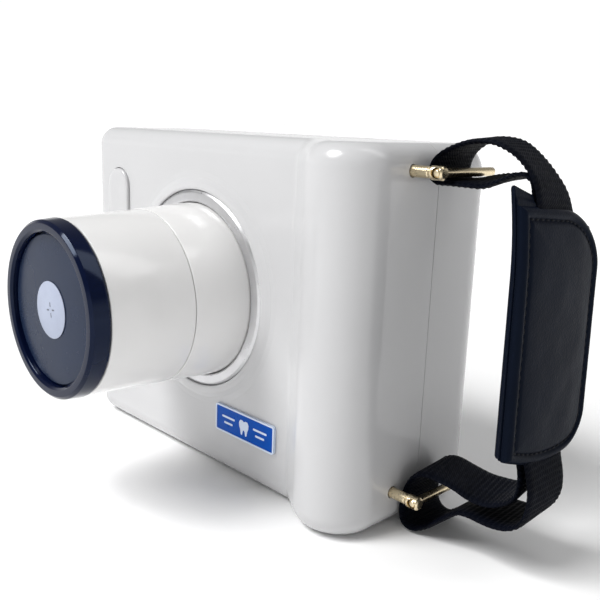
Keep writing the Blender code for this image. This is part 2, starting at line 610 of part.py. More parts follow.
def strap_webbing():
    """One closed loop of webbing seen from the front: x and z in millimetres."""
    route = [(142.5, 52), (142.5, 72), (142.5, 92), (142.5, 110), (142.5, 121), (142.4, 130),
             (141, 135.4), (137.2, 140.4), (130, 145.2), (122, 148.2), (113, 149.2), (105, 147.8),
             (99.4, 144.2), (97, 139.5), (98.6, 135.4), (103, 133.4), (110, 132.6), (118, 132.8),
             (124, 135.2), (129.5, 137.6), (134.4, 137.8), (138.6, 136.6), (140.4, 132.6),
             (140.5, 125), (140.5, 110), (140.5, 92), (140.5, 72), (140.5, 52), (140.5, 41),
             (139.7, 34.5), (136.5, 28.6), (130.5, 24.4), (124, 23.6), (117, 25.4), (110, 26.6),
             (104, 26.4), (98.6, 24), (95.2, 18.6), (94.2, 12), (94.7, 6.2), (97.6, 2.8), (102, 2.2),
             (107, 4.6), (112, 9.4), (117, 14), (122, 16.6), (129, 16.6), (136, 17.2), (142, 20.6),
             (145, 26.5), (144.6, 33), (142.8, 38), (142.5, 42)]
    centre = smooth_loop([(x * MM, z * MM) for x, z in route], 2)
    bm = bmesh.new()
    half = WEBBING_WIDTH / 2
    rows = [[bm.verts.new((x, y, z)) for y in (-half, half)] for x, z in centre]
    for index, (left, right) in enumerate(rows):
        next_left, next_right = rows[(index + 1) % len(rows)]
        bm.faces.new((left, right, next_right, next_left))
    mesh = bpy.data.meshes.new("strap_webbing")
    bm.to_mesh(mesh)
    bm.free()
    strap = finish("strap_webbing", mesh, "black_webbing")
    thicken = strap.modifiers.new("thickness", "SOLIDIFY")
    thicken.thickness = WEBBING_THICKNESS
    thicken.offset = 0.0
    thicken.use_even_offset = True


def hand_pad():
    """A flat pad, drawn from the strap's side: y and z in millimetres, with the front edge first."""
    outline = [(-23.5, 46.5), (-20.5, 43.6), (-4, 41.6), (9, 41.2), (17, 43), (22, 47.5), (24, 55), (24, 108),
               (22.5, 116), (18.5, 121.5), (12, 125.5), (0, 129), (-20.5, 134), (-23.5, 132.5)]
    outline = [(y * MM, z * MM) for y, z in outline]
    place = along_x(sum(PAD_X) / 2, 0, 0)
    pad = plate("hand_pad", outline, PAD_X[1] - PAD_X[0], place, "black_pad", PAD_EDGE, 2)
    half = WEBBING_WIDTH / 2 + 2 * GAP
    boolean(pad, box("pad_channel", (PAD_CHANNEL[0], -half, 0), (PAD_CHANNEL[1], half, 0.2)))


# ---------------------------------------------------------------- assembly

cavity = body_solid("cavity", WALL)
front_shell(cavity)
rear_shell(cavity)
beam_cone()
label = rounded_rectangle(37.3 * MM, 11.9 * MM, 1.2 * MM)
plate("label_plate", label, 0.9 * MM, upright(28 * MM, FRONT - 0.8 * MM, 26 * MM), "blue_label")
exposure_button()
rear_panel()
charging_socket()
high_voltage_tank()
beam_filter()
battery()
chassis()
strap_fittings()
strap_webbing()
hand_pad()
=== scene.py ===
"""Looks for a hand-held intraoral X-ray unit: glossy moulded shells, beam cone, keypad and hand strap.

Lengths are in metres. As in the CAD source, y is measured from the parting plane of the two shells while a
piece is made, and every mesh is moved to the shared frame when it is finished.
"""
import math

import bmesh
import bpy
from mathutils import Matrix, Vector, kdtree, noise


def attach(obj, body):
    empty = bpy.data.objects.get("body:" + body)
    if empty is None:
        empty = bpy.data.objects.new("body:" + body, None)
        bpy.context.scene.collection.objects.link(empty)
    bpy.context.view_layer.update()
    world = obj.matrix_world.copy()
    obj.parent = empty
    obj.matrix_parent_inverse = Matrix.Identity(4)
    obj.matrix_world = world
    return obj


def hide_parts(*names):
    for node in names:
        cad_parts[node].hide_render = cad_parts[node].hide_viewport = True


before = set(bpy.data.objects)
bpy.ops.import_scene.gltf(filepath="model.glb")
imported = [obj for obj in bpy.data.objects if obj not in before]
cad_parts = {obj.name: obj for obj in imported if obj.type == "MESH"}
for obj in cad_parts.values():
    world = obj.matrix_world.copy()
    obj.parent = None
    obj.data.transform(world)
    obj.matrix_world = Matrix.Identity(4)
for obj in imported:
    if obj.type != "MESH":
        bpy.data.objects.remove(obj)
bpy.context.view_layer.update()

MM = 0.001
PARTING = Matrix.Translation((0, -3.0 * MM, 0))

# Body
WIDTH = 185.0 * MM
HEIGHT = 146.5 * MM
FRONT = -34.5 * MM
REAR = 40.5 * MM
EDGE = 8.5 * MM
FRONT_CORNER = 9.5 * MM
REAR_CORNER = 18.0 * MM
WALL = 2.5 * MM
GAP = 0.3 * MM
GRIP_RADIUS = 18.0 * MM
GRIP_DEPTH = 8.0 * MM
GRIP_RAMP = math.radians(32.0)
KINK_RADIUS = 6.0 * MM
ARC_STEPS = 14
TURN_STEPS = 128
EDGE_STEPS = 10

# Beam cone
CONE_AXIS = (-6.6 * MM, 0, 79.7 * MM)
PORT_RADIUS = 43.2 * MM

# Controls
BUTTON_X = -69.0 * MM
BUTTON_Z = 112.5 * MM
BUTTON_SIZE = (17.0 * MM, 30.0 * MM)
KEY_CLEARANCE = 0.4 * MM
BUTTON_PROUD = 1.4 * MM
PANEL_X = -10.0 * MM
WINDOW_Z = 104.0 * MM
WINDOW_SIZE = (74.0 * MM, 44.0 * MM)
KEYPAD_Z = 54.0 * MM
KEYPAD_SIZE = (88.0 * MM, 44.0 * MM)
BEZEL_FRONT = REAR + GAP + 1.0 * MM
KEY_TOP = BEZEL_FRONT + 1.5 * MM
KEYS = {
    "ok_key": (PANEL_X, KEYPAD_Z, 6.0 * MM),
    "up_key": (PANEL_X, KEYPAD_Z + 14.5 * MM, 4.8 * MM),
    "down_key": (PANEL_X, KEYPAD_Z - 14.5 * MM, 4.8 * MM),
    "left_key": (PANEL_X + 14.5 * MM, KEYPAD_Z, 4.8 * MM),
    "right_key": (PANEL_X - 14.5 * MM, KEYPAD_Z, 4.8 * MM),
    "power_key": (PANEL_X + 33.0 * MM, KEYPAD_Z, 5.2 * MM),
    "mode_key": (PANEL_X - 33.0 * MM, KEYPAD_Z, 5.2 * MM),
}
SOCKET_Y = 12.0 * MM
SOCKET_Z = 24.0 * MM
SCREW_HOLE_RADIUS = 3.4 * MM
SCREW_PLACES = [(x, z) for x in (-82.0 * MM, 82.0 * MM) for z in (12.5 * MM, 134.0 * MM)]

# Label
LABEL_PLACE = (28.0 * MM, FRONT, 26.0 * MM)
LABEL_SIZE = (37.3, 11.9)
LABEL_TOP = 1.2

# Strap
PIN_X = 103.5 * MM
PIN_LEVELS = {"upper": 137.0 * MM, "lower": 15.0 * MM}
POST_Y = 15.5 * MM
POST_RADIUS = 2.1 * MM
PIN_RADIUS = 1.6
PIN_LENGTH = 35.0


# ---------------------------------------------------------------- materials

def principled(name, metallic=0.0, **sockets):
    material = bpy.data.materials.new(name)
    material.use_nodes = True
    shader = material.node_tree.nodes["Principled BSDF"]
    shader.inputs["Metallic"].default_value = metallic
    for socket, value in sockets.items():
        shader.inputs[socket.replace("_", " ")].default_value = value
    return material, shader


def node(material, kind, **values):
    """A new node; a value sets an input, or a property where the node has one of that name."""
    made = material.node_tree.nodes.new(kind)
    for name, value in values.items():
        if hasattr(made, name):
            setattr(made, name, value)
        else:
            made.inputs[name.replace("_", " ")].default_value = value
    return made


def link(material, source, output, target, socket):
    material.node_tree.links.new(source.outputs[output], target.inputs[socket])


def place_node(material):
    return node(material, "ShaderNodeTexCoord")


def add_colour(material, shader, coordinates, colour, vary, scale):
    """Base colour that drifts a little over the surface."""
    drift = node(material, "ShaderNodeTexNoise", Scale=scale, Detail=4.0, Roughness=0.6)
    link(material, coordinates, "Object", drift, "Vector")
    ramp = node(material, "ShaderNodeValToRGB")
    ramp.color_ramp.elements[0].position = 0.3
    ramp.color_ramp.elements[1].position = 0.7
    ramp.color_ramp.elements[0].color = (*[max(0.0, value * (1 - vary)) for value in colour], 1)
    ramp.color_ramp.elements[1].color = (*[min(1.0, value * (1 + vary)) for value in colour], 1)
    link(material, drift, "Fac", ramp, "Fac")
    link(material, ramp, "Color", shader, "Base Color")


def add_roughness(material, shader, coordinates, low, high, scale):
    smear = node(material, "ShaderNodeTexNoise", Scale=scale, Detail=6.0, Roughness=0.65, Distortion=0.4)
    link(material, coordinates, "Object", smear, "Vector")
    spread = node(material, "ShaderNodeMapRange", From_Min=0.3, From_Max=0.7, To_Min=low, To_Max=high)
    link(material, smear, "Fac", spread, "Value")
    link(material, spread, "Result", shader, "Roughness")


def add_grain(material, shader, coordinates, scale, depth, strength=1.0, kind="ShaderNodeTexNoise",
              below=None):
    texture = node(material, kind, Scale=scale)
    link(material, coordinates, "Object", texture, "Vector")
    bump = node(material, "ShaderNodeBump", Strength=strength, Distance=depth)
    link(material, texture, "Distance" if kind.endswith("Voronoi") else "Fac", bump, "Height")
    if below:
        link(material, below, "Normal", bump, "Normal")
    link(material, bump, "Normal", shader, "Normal")
    return bump


def plastic(name, colour, rough, vary, patch, grain, depth, **sockets):
    """Moulded plastic, film or paint: colour drifts by vary over patches, and bumps are depth high."""
    material, shader = principled(name, **sockets)
    coordinates = place_node(material)
    add_colour(material, shader, coordinates, colour, vary, patch)
    add_roughness(material, shader, coordinates, rough[0], rough[1], patch * 2)
    add_grain(material, shader, coordinates, grain, depth)
    return material


def turned_metal(name, colour, rough, axis, vary=0.05):
    """Metal with fine tool marks that run round an axis through the object's frame."""
    material, shader = principled(name, metallic=1.0)
    coordinates = place_node(material)
    add_colour(material, shader, coordinates, colour, vary, 120.0)
    add_roughness(material, shader, coordinates, rough[0], rough[1], 300.0)
    stretch = node(material, "ShaderNodeMapping")
    stretch.inputs["Scale"].default_value = axis
    link(material, coordinates, "Object", stretch, "Vector")
    marks = node(material, "ShaderNodeTexNoise", Scale=2600.0, Detail=3.0)
    link(material, stretch, "Vector", marks, "Vector")
    bump = node(material, "ShaderNodeBump", Strength=0.6, Distance=0.006 * MM)
    link(material, marks, "Fac", bump, "Height")
    link(material, bump, "Normal", shader, "Normal")
    return material


def leatherette():
    """Soft embossed leatherette: a fine pebble grain with wider creases, a little smoother in patches."""
    material, shader = principled("pad_leatherette", Specular_IOR_Level=0.05,
                                  Specular_Tint=(0.72, 0.84, 1.0, 1.0))
    coordinates = place_node(material)
    add_colour(material, shader, coordinates, (0.0024, 0.0042, 0.0102), 0.12, 55.0)
    add_roughness(material, shader, coordinates, 0.36, 0.45, 90.0)
    pebble = add_grain(material, shader, coordinates, 1500.0, 0.09 * MM, 0.55, "ShaderNodeTexVoronoi")
    add_grain(material, shader, coordinates, 420.0, 0.12 * MM, 0.35, below=pebble)
    return material


def nylon():
    """Woven nylon: fine diagonal yarns over the ribs that the webbing's mesh has."""
    material, shader = principled("webbing_nylon", Specular_IOR_Level=0.04)
    coordinates = place_node(material)
    add_colour(material, shader, coordinates, (0.0020, 0.0028, 0.0060), 0.3, 160.0)
    add_roughness(material, shader, coordinates, 0.5, 0.7, 500.0)
    twill = node(material, "ShaderNodeMapping")
    twill.inputs["Rotation"].default_value = (0, 0, math.radians(38.0))
    link(material, coordinates, "UV", twill, "Vector")
    yarn = node(material, "ShaderNodeTexWave", Scale=0.32, Distortion=0.6, Detail=2.0)
    link(material, twill, "Vector", yarn, "Vector")
    bump = node(material, "ShaderNodeBump", Strength=0.7, Distance=0.12 * MM)
    link(material, yarn, "Fac", bump, "Height")
    link(material, bump, "Normal", shader, "Normal")
    return material


def floor_paper_painted_glow():
    """Pale matt paper with a painted glow: its emission rises with distance from the object, so the floor
    looks lit more strongly away from the object, as a studio sweep is.
    """
    material, shader = principled("floor_paper_painted_glow")
    coordinates = place_node(material)
    add_colour(material, shader, coordinates, (0.94, 0.94, 0.94), 0.005, 3.0)
    add_roughness(material, shader, coordinates, 0.75, 0.85, 6.0)
    add_grain(material, shader, coordinates, 300.0, 0.02 * MM)
    # Painted glow: emission strength rises from 0 at 0.22 m to 0.34 beyond 0.75 m from the floor's centre,
    # where the object stands.
    distance = node(material, "ShaderNodeVectorMath", operation="LENGTH")
    link(material, coordinates, "Object", distance, 0)
    painted_glow = node(material, "ShaderNodeMapRange", From_Min=0.22, From_Max=0.75, To_Min=0.0, To_Max=0.34)
    link(material, distance, "Value", painted_glow, "Value")
    link(material, painted_glow, "Result", shader, "Emission Strength")
    shader.inputs["Emission Color"].default_value = (1.0, 1.0, 1.0, 1.0)
    return material


MATERIALS = {
    "white_gloss": plastic("shell_white", (0.53, 0.53, 0.537), (0.13, 0.24), 0.012, 30.0, 320.0, 0.02 * MM,
                           IOR=1.5),
    # The cone is the same white plastic as the shells; its brighter base colour is painted light, standing in
    # for the stronger light that falls on the cone.
    "cone_white_painted_light": plastic("cone_white_painted_light", (0.74, 0.735, 0.73), (0.10, 0.20), 0.012, 40.0, 320.0, 0.015 * MM,
                          IOR=1.5),
    "white_key": plastic("key_white", (0.66, 0.68, 0.70), (0.34, 0.46), 0.02, 120.0, 2400.0, 0.02 * MM),
    "navy_gloss": plastic("cap_navy", (0.0012, 0.0034, 0.0190), (0.06, 0.14), 0.12, 60.0, 400.0, 0.008 * MM,
                          Specular_IOR_Level=0.24, Specular_Tint=(0.62, 0.76, 1.0, 1.0)),
    "slate": plastic("window_slate", (0.0110, 0.0190, 0.0440), (0.20, 0.30), 0.08, 50.0, 500.0, 0.003 * MM,
                     Specular_IOR_Level=0.13, Specular_Tint=(0.70, 0.82, 1.0, 1.0)),
    "pale_mark": plastic("mark_film", (0.36, 0.40, 0.51), (0.40, 0.52), 0.04, 150.0, 1500.0, 0.01 * MM),
    "silver": turned_metal("ring_silver", (0.60, 0.60, 0.61), (0.26, 0.38), (0.3, 1.0, 0.3)),
    "blue_label": plastic("label_blue", (0.0008, 0.070, 0.40), (0.26, 0.38), 0.05, 160.0, 1200.0, 0.01 * MM,
                          Specular_IOR_Level=0.10, Specular_Tint=(0.5, 0.7, 1.0, 1.0)),
    "gold": turned_metal("fitting_gold", (0.80, 0.68, 0.46), (0.22, 0.36), (1.0, 0.2, 0.2), vary=0.08),
    "black_webbing": nylon(),
    "black_pad": leatherette(),
    "dark_glass": plastic("display_glass", (0.010, 0.012, 0.015), (0.03, 0.08), 0.15, 40.0, 200.0, 0.004 * MM,
                          IOR=1.5),
    "grey_bezel": plastic("bezel_grey", (0.24, 0.265, 0.30), (0.36, 0.50), 0.03, 80.0, 2600.0, 0.03 * MM),
    "steel": turned_metal("steel_plain", (0.55, 0.56, 0.58), (0.24, 0.38), (1.0, 0.3, 1.0)),
    "aluminium": turned_metal("aluminium_sheet", (0.72, 0.73, 0.75), (0.32, 0.45), (0.1, 1.0, 1.0)),
    "lead": plastic("lead_grey", (0.16, 0.17, 0.19), (0.45, 0.60), 0.12, 90.0, 900.0, 0.05 * MM),
    "dark_iron": plastic("iron_dark", (0.06, 0.06, 0.065), (0.5, 0.65), 0.15, 90.0, 1200.0, 0.05 * MM),
    "copper": turned_metal("copper_wound", (0.72, 0.36, 0.21), (0.26, 0.40), (0.2, 1.0, 1.0)),
    "board_green": plastic("board_mask", (0.012, 0.11, 0.045), (0.28, 0.42), 0.12, 200.0, 1500.0, 0.02 * MM),
    "black_plastic": plastic("plastic_black", (0.014, 0.014, 0.016), (0.40, 0.55), 0.10, 90.0, 1800.0,
                             0.03 * MM),
    "cell_wrap": plastic("cell_sleeve", (0.03, 0.15, 0.32), (0.30, 0.42), 0.06, 90.0, 900.0, 0.02 * MM),
    "clear_glass": plastic("tube_glass", (0.60, 0.70, 0.74), (0.04, 0.10), 0.03, 60.0, 300.0, 0.01 * MM),
    "white_ink": plastic("ink_pale", (0.62, 0.70, 0.84), (0.40, 0.52), 0.03, 200.0, 1500.0, 0.005 * MM),
    "grey_ink": plastic("ink_grey", (0.10, 0.11, 0.14), (0.45, 0.55), 0.05, 200.0, 1500.0, 0.005 * MM),
    "display_film": plastic("display_film", (0.034, 0.042, 0.040), (0.16, 0.24), 0.10, 90.0, 2200.0,
                            0.006 * MM),
    "thread": plastic("thread_black", (0.003, 0.004, 0.007), (0.55, 0.7), 0.2, 400.0, 3000.0, 0.05 * MM,
                      Specular_IOR_Level=0.15),
}

CAD_SLOTS = {
    "display_module": "black_plastic", "key_board": "board_green", "main_board": "board_green",
    "multiplier_board": "board_green", "tank_housing": "aluminium", "tank_lid": "aluminium",
    "aluminium_filter": "aluminium", "chassis_plate": "aluminium", "transformer_core": "dark_iron",
    "transformer_coil": "copper", "anode": "copper", "xray_tube": "clear_glass", "cathode_cup": "steel",
    "lead_collimator": "lead", "battery_holder": "black_plastic", "buzzer": "black_plastic",
    "exposure_switch": "black_plastic", "charging_socket": "steel", "cone_retaining_ring": "steel",
}
CAD_SLOTS.update({f"chassis_post_{index}": "steel" for index in range(1, 5)})
CAD_SLOTS.update({f"battery_cell_{index}": "cell_wrap" for index in range(1, 4)})


# ---------------------------------------------------------------- making pieces

def piece(name, bm, slot, body="housing", replaces=(), sharp=32.0, smooth=True):
    """Turn a bmesh into a named piece that rides on a body and has its slot's material."""
    bmesh.ops.recalc_face_normals(bm, faces=bm.faces)
    mesh = bpy.data.meshes.new(name)
    bm.to_mesh(mesh)
    bm.free()
    mesh.transform(PARTING)
    if smooth:
        mesh.shade_smooth()
        mesh.set_sharp_from_angle(angle=math.radians(sharp))
    obj = bpy.data.objects.new(name, mesh)
    bpy.context.scene.collection.objects.link(obj)
    mesh.materials.append(MATERIALS[slot])
    if body:
        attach(obj, body)
    if replaces:
        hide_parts(*replaces)
    return obj


def add_skin(bm, rings, caps=True, loop=False):
    """Join rings of equal length with faces; caps close the first and last ring."""
    rows = [[bm.verts.new(point) for point in ring] for ring in rings]
    following = rows[1:] + rows[:1] if loop else rows[1:]
    for lower, upper in zip(rows, following):
        for index in range(len(lower)):
            after = (index + 1) % len(lower)
            bm.faces.new((lower[index], lower[after], upper[after], upper[index]))
    if caps and not loop:
        bm.faces.new(reversed(rows[0]))
        bm.faces.new(rows[-1])
    return rows


def skin(rings, caps=True, loop=False):
    bm = bmesh.new()
    add_skin(bm, rings, caps, loop)
    return bm


def arc(centre, radius, start, end, steps=ARC_STEPS):
    points = []
    for index in range(steps + 1):
        angle = math.radians(start + (end - start) * index / steps)
        points.append((centre[0] + radius * math.cos(angle), centre[1] + radius * math.sin(angle)))
    return points


def rounded_rectangle(width, height, radius, steps=8):
    x, y = width / 2 - radius, height / 2 - radius
    points = []
    for corner, start in (((x, y), 0), ((-x, y), 90), ((-x, -y), 180), ((x, -y), 270)):
        points += arc(corner, radius, start, start + 90, steps)
    return points


def fillet(profile, radius, closed=True, steps=4):
    """Round the corners of a polyline of (x, y) points."""
    points = [Vector(point) for point in profile]
    rounded = []
    for index, corner in enumerate(points):
        if not closed and index in (0, len(points) - 1):
            rounded.append(corner)
            continue
        back = points[index - 1] - corner
        ahead = points[(index + 1) % len(points)] - corner
        angle = back.angle(ahead)
        cut = min(radius / math.tan(angle / 2), 0.45 * back.length, 0.45 * ahead.length)
        start, end = corner + back.normalized() * cut, corner + ahead.normalized() * cut
        for step in range(steps + 1):
            t = step / steps
            rounded.append(start * (1 - t) ** 2 + corner * 2 * t * (1 - t) + end * t ** 2)
    return rounded


AXES = {
    "-Y": Matrix(((1, 0, 0), (0, 0, -1), (0, 1, 0))),
    "Y": Matrix(((-1, 0, 0), (0, 0, 1), (0, 1, 0))),
    "X": Matrix(((0, 0, 1), (1, 0, 0), (0, 1, 0))),
}


def turned(profile, place, axis, steps=TURN_STEPS, closed=True):
    """Turn (radius, height) points, in millimetres, about an axis through a point."""
    place, axes = Vector(place), AXES[axis]
    rings = []
    for radius, height in profile:
        ring = []
        for step in range(steps):
            angle = 2 * math.pi * step / steps
            local = Vector((radius * math.cos(angle), radius * math.sin(angle), height)) * MM
            ring.append(place + axes @ local)
        rings.append(ring)
    bm = skin(rings, caps=False, loop=closed)
    bmesh.ops.remove_doubles(bm, verts=bm.verts, dist=0.000001)
    return bm


def lifted(rings, place, axis):
    """(outline, height) pairs in millimetres, as rings of points about an axis through a place."""
    place, axes = Vector(place), AXES[axis]
    return [[place + axes @ (Vector((x, y, height)) * MM) for x, y in outline] for outline, height in rings]


def plate(rings, place, axis):
    """A plate from (outline, height) pairs; every outline has the same number of points."""
    return skin(lifted(rings, place, axis))


def rounded_plate(width, height, radius, thickness, edge, place, axis):
    """A rounded rectangle in millimetres whose front edge is rounded; it grows along the axis."""
    rings = [(rounded_rectangle(width, height, radius), 0.0)]
    for step in range(5):
        angle = math.radians(90 * step / 4)
        inset = edge * (1 - math.cos(angle))
        outline = rounded_rectangle(width - 2 * inset, height - 2 * inset, max(radius - inset, 0.05))
        rings.append((outline, thickness - edge + edge * math.sin(angle)))
    return plate(rings, place, axis)


def cut(obj, *cutters, operation="DIFFERENCE"):
    """Apply booleans with meshes that are then removed."""
    tools = []
    for bm in cutters:
        bmesh.ops.recalc_face_normals(bm, faces=bm.faces)
        mesh = bpy.data.meshes.new("tool")
        bm.to_mesh(mesh)
        bm.free()
        mesh.transform(PARTING)
        tool = bpy.data.objects.new("tool", mesh)
        bpy.context.scene.collection.objects.link(tool)
        tools.append(tool)
        modifier = obj.modifiers.new("cut", "BOOLEAN")
        modifier.operation = operation
        modifier.solver = "EXACT"
        modifier.object = tool
    bpy.context.view_layer.update()
    mesh = bpy.data.meshes.new_from_object(obj.evaluated_get(bpy.context.evaluated_depsgraph_get()))
    obj.modifiers.clear()
    obj.data = mesh
    for tool in tools:
        bpy.data.objects.remove(tool)


def soften(obj, width):
    """Small rounded edges with clean shading on the faces beside them."""
    bevel = obj.modifiers.new("edges", "BEVEL")
    bevel.width = width
    bevel.segments = 2
    bevel.limit_method = "ANGLE"
    bevel.angle_limit = math.radians(40.0)
    bevel.use_clamp_overlap = True
    normals = obj.modifiers.new("normals", "WEIGHTED_NORMAL")
    normals.keep_sharp = False
    obj.data.shade_smooth()


def block(low, high):
    bm = bmesh.new()
    bmesh.ops.create_cube(bm, size=1.0)
    low, high = Vector(low), Vector(high)
    bmesh.ops.scale(bm, vec=high - low, verts=bm.verts)
    bmesh.ops.translate(bm, vec=(high + low) / 2, verts=bm.verts)
    return bm


def rod(radius, low, high, place, axis, steps=48):
    return turned([(0, low), (radius, low), (radius, high), (0, high)], place, axis, steps, closed=False)


# ---------------------------------------------------------------- camera, lights and floor

CAMERA_PLACE = (0.26249, -0.23849, 0.15253)
CAMERA_ANGLES = (77.065, -2.056, 46.01)
CAMERA_LENS = 46.752
SUN_POWER = 2.1
SUN_SPREAD = math.radians(28.0)
SUN_WAY = (0.27, 0.60, -0.75)
AREA_LIGHTS = {     # place, size and power
    "softbox": ((-0.30, -0.55, 1.0), (0.34, 0.24), 4.4),
    "strip": ((0.45, 0.25, 0.95), (0.25, 0.8), 1.6),
}
LIGHTS_AIM = Vector((0.0, 0.0, 0.07))
FLOOR_HALF = 20.0
FLOOR_DROP = 0.0002


def add_object(name, data):
    obj = bpy.data.objects.new(name, data)
    bpy.context.scene.collection.objects.link(obj)
    return obj


def set_camera():
    camera = add_object("camera", bpy.data.cameras.new("camera"))
    camera.location = CAMERA_PLACE
    camera.rotation_euler = [math.radians(angle) for angle in CAMERA_ANGLES]
    camera.data.lens = CAMERA_LENS
    camera.data.clip_start = 0.01
    bpy.context.scene.camera = camera
    bpy.context.scene.view_settings.view_transform = "Standard"


def set_world():
    """A white surround near the horizon that is dimmer overhead."""
    world = bpy.data.worlds.new("studio")
    bpy.context.scene.world = world
    world.use_nodes = True
    background = world.node_tree.nodes["Background"]
    background.inputs["Color"].default_value = (1.0, 1.0, 1.0, 1.0)
    coordinates = node(world, "ShaderNodeTexCoord")
    parts = node(world, "ShaderNodeSeparateXYZ")
    fade = node(world, "ShaderNodeMapRange", From_Min=0.16, From_Max=0.34, To_Min=1.02, To_Max=0.28)
    link(world, coordinates, "Generated", parts, "Vector")
    link(world, parts, "Z", fade, "Value")
    link(world, fade, "Result", background, "Strength")


def set_lights():
    sun = add_object("sun", bpy.data.lights.new("sun", "SUN"))
    sun.data.energy = SUN_POWER
    sun.data.angle = SUN_SPREAD
    sun.rotation_euler = Vector(SUN_WAY).to_track_quat("-Z", "Y").to_euler()
    for name, (place, size, power) in AREA_LIGHTS.items():
        light = bpy.data.lights.new(name, "AREA")
        light.shape = "RECTANGLE"
        light.size, light.size_y = size
        light.energy = power
        obj = add_object(name, light)
        obj.location = place
        obj.rotation_euler = (LIGHTS_AIM - Vector(place)).to_track_quat("-Z", "Y").to_euler()


def set_floor():
    bm = bmesh.new()
    bmesh.ops.create_grid(bm, x_segments=8, y_segments=8, size=FLOOR_HALF)
    mesh = bpy.data.meshes.new("floor")
    bm.to_mesh(mesh)
    bm.free()
    mesh.materials.append(floor_paper_painted_glow())
    floor = add_object("floor", mesh)
    floor.location.z = -FLOOR_DROP


# ---------------------------------------------------------------- body shells

def plan_outline(inset=0.0):
    """The body seen from above, from the rear left corner round to the rear right one."""
    half = WIDTH / 2
    kink_run = KINK_RADIUS * math.tan(GRIP_RAMP / 2)
    axis = (half - GRIP_RADIUS, FRONT + GRIP_DEPTH)
    ramp_top = GRIP_RADIUS * math.cos(GRIP_RAMP) - GRIP_DEPTH
    ramp_x = axis[0] - GRIP_RADIUS * math.sin(GRIP_RAMP) - ramp_top / math.tan(GRIP_RAMP)
    ramp = math.degrees(GRIP_RAMP)
    rear = REAR - REAR_CORNER
    points = arc((-half + REAR_CORNER, rear), REAR_CORNER - inset, 90, 180)
    points += arc((-half + FRONT_CORNER, FRONT + FRONT_CORNER), FRONT_CORNER - inset, 180, 270)
    points += arc((ramp_x - kink_run, FRONT - KINK_RADIUS), KINK_RADIUS + inset, 90, 90 - ramp, 8)
    points += arc(axis, GRIP_RADIUS - inset, 270 - ramp, 360, 30)
    points += arc((half - REAR_CORNER, rear), REAR_CORNER - inset, 0, 90)
    return points


def body_form(inset=0.0):
    """The whole body, its edges rounded by EDGE at the front and sides and REAR_CORNER at the rear."""
    outer = [Vector(point) for point in plan_outline()]
    inward = [(Vector(point) - place) / MM for point, place in zip(plan_outline(MM), outer)]
    rounding = [EDGE + (REAR_CORNER - EDGE) * max(0.0, -way.y) ** 1.5 for way in inward]
    rings = []
    for step in range(EDGE_STEPS + 1):
        angle = math.radians(90 * step / EDGE_STEPS)
        ring = []
        for place, way, radius in zip(outer, inward, rounding):
            inner = radius - inset
            x, y = place + way * (inset + inner * (1 - math.cos(angle)))
            ring.append((x, y, radius - inner * math.sin(angle)))
        rings.append(ring)
    upper = [[(x, y, HEIGHT - z) for x, y, z in ring] for ring in rings]
    return skin(rings[::-1] + upper)


def capsule(width, length):
    return rounded_rectangle(width, length, width / 2 - 0.01, 14)


def front_skin():
    front = piece("front_skin", body_form(), "white_gloss", replaces=["front_shell"])
    hole = capsule(*[(side + 2 * KEY_CLEARANCE) / MM for side in BUTTON_SIZE])
    post_holes = [rod((POST_RADIUS + GAP) / MM, 85, 97, (0, -POST_Y, z), "X") for z in PIN_LEVELS.values()]
    cut(front, body_form(WALL), block((-0.2, -GAP / 2, -0.1), (0.2, 0.1, 0.3)),
        rod(PORT_RADIUS / MM, 20, 60, CONE_AXIS, "-Y", TURN_STEPS),
        plate([(hole, 20), (hole, 50)], (BUTTON_X, 0, BUTTON_Z), "-Y"), *post_holes)
    soften(front, 0.35 * MM)


def rear_skin():
    rear = piece("rear_skin", body_form(), "white_gloss", replaces=["rear_shell"])
    recess = rounded_rectangle(WINDOW_SIZE[0] / MM, WINDOW_SIZE[1] / MM, 5.0)
    socket = rounded_rectangle(9.8, 4.1, 1.9)
    tools = [body_form(WALL), block((-0.2, -0.1, -0.1), (0.2, GAP / 2, 0.3)),
             plate([(recess, 39.2), (recess, 45)], (PANEL_X, 0, WINDOW_Z), "Y")]
    tools += [rod((radius + KEY_CLEARANCE) / MM, 30, 45, (x, 0, z), "Y") for x, z, radius in KEYS.values()]
    tools += [rod(SCREW_HOLE_RADIUS / MM, 30, 45, (x, 0, z), "Y") for x, z in SCREW_PLACES]
    tools.append(plate([(socket, -97), (socket, -85)], (0, SOCKET_Y, SOCKET_Z), "X"))
    cut(rear, *tools)
    soften(rear, 0.35 * MM)


def screws():
    """Four deep wells in the rear corners, each with a star-drive screw at its bottom."""
    well = [(3.35, 39.6), (3.35, 9.0), (1.8, 9.0), (1.8, 8.0), (4.4, 8.0), (4.4, 37.0), (4.4, 39.0)]
    head = fillet([(0, 12.7), (2.2, 12.7), (2.9, 11.9), (2.9, 10.3), (1.4, 10.3), (1.4, -12), (0, -12)],
                  0.3, closed=False)
    star = []
    for step in range(24):
        radius = 1.35 if step % 4 < 2 else 0.95
        angle = math.radians(15 * step)
        star.append((radius * math.cos(angle), radius * math.sin(angle)))
    for index, (x, z) in enumerate(SCREW_PLACES, 1):
        place = (x, 0, z)
        tube = piece(f"screw_well_{index}", turned(well, place, "Y", 40), "white_gloss")
        cut(tube, body_form(0.4 * MM), operation="INTERSECT")
        screw = piece(f"screw_{index}", turned(head, place, "Y", 40, closed=False), "steel",
                      replaces=[f"case_screw_{index}"])
        cut(screw, plate([(star, 11.4), (star, 14)], place, "Y"))
        soften(screw, 0.08 * MM)


# ---------------------------------------------------------------- beam cone

